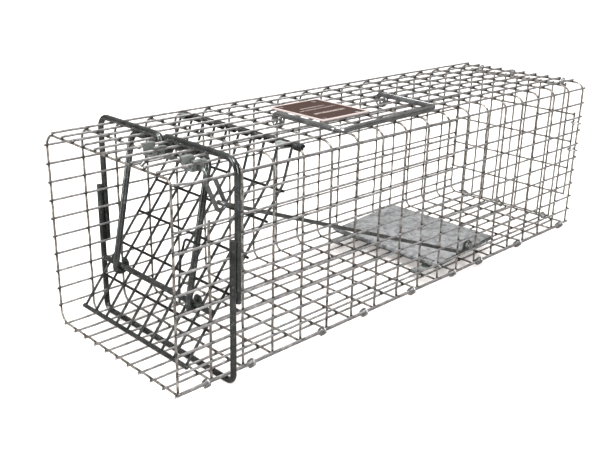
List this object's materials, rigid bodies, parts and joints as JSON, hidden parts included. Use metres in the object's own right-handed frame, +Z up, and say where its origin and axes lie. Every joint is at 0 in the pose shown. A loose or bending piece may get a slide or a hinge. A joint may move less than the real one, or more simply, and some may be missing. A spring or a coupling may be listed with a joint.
{
  "type": "live catch trap",
  "caption": "Long welded wire mesh animal trap with a sloping drop-down door and lock frame at one end, a tilting pan on a trigger rod, and a folding carry handle.",
  "frame": {"origin": "on the ground, at the middle of the trap's outline", "axes": "+Z up, -Y out of the door end, +X to the side with the trigger rod"},
  "size_m": [0.1472, 0.461, 0.1483],
  "materials": {
    "galvanised_mesh": "hot-dip galvanised welded wire, satin",
    "bright_wire": "bright galvanised wire",
    "bright_rod": "zinc plated rod, satin",
    "grey_rod": "dull grey steel rod",
    "dark_rod": "dark grey-green oxide, low gloss",
    "dark_wire": "dark oxide wire, low gloss",
    "zinc_sheet": "galvanised sheet",
    "spangled_sheet": "galvanised sheet with spangle",
    "label_face": "printed brown plate with a pale border, satin"
  },
  "bodies": {
    "cage": {"mesh_long_wires": "galvanised_mesh", "mesh_cross_wires": "galvanised_mesh", "rear_panel_uprights": "galvanised_mesh", "rear_panel_rails": "galvanised_mesh", "seam_rings": "bright_wire", "rear_rings": "bright_wire", "upper_hoop_left": "dark_rod", "upper_hoop_right": "dark_rod", "lower_hoop": "dark_rod", "door_hinge_clips": "zinc_sheet", "trip_rod_clips": "zinc_sheet", "pan_hinge_rod": "bright_wire", "pan_hinge_clips": "zinc_sheet", "label_plate": "label_face", "label_rivets": "bright_wire", "label_washers": "zinc_sheet"},
    "door": {"door_slope_wires": "dark_wire", "door_cross_wires": "dark_wire", "door_bottom_rod": "dark_rod"},
    "lock": {"lock_frame": "dark_rod", "lock_bar": "dark_rod", "lock_spring": "dark_wire"},
    "pan": {"pan": "spangled_sheet", "trigger_rod": "grey_rod", "trigger_rivet": "bright_wire"},
    "trip": {"trip_rod": "grey_rod", "trip_hook": "grey_rod"},
    "handle": {"handle": "bright_rod"}
  },
  "joints": [
    {"name": "door_swing", "type": "hinge", "parent": "cage", "child": "door", "pos_m": [0.0004, -0.1279, 0.14049], "axis": [-1, 0, 0], "range_deg": [0, 41]},
    {"name": "lock_swing", "type": "hinge", "parent": "cage", "child": "lock", "pos_m": [0, -0.1821, 0.13901], "axis": [-1, 0, 0], "range_deg": [0, 67.65]},
    {"name": "pan_tilt", "type": "hinge", "parent": "cage", "child": "pan", "pos_m": [0, 0.0395, 0.0108], "axis": [-1, 0, 0], "range_deg": [0, 2]},
    {"name": "trip_turn", "type": "hinge", "parent": "cage", "child": "trip", "pos_m": [0.02, -0.201, 0.13956], "axis": [1, 0, 0], "range_deg": [0, 20.4]},
    {"name": "handle_fold", "type": "hinge", "parent": "cage", "child": "handle", "pos_m": [0.00469, -0.0295, 0.14231], "axis": [0, -1, 0], "range_deg": [0, 140]}
  ],
  "couplings": [
    {"joint": "lock_swing", "follows": "door_swing", "ratio": 1.65},
    {"joint": "trip_turn", "follows": "pan_tilt", "ratio": 10.2}
  ]
}
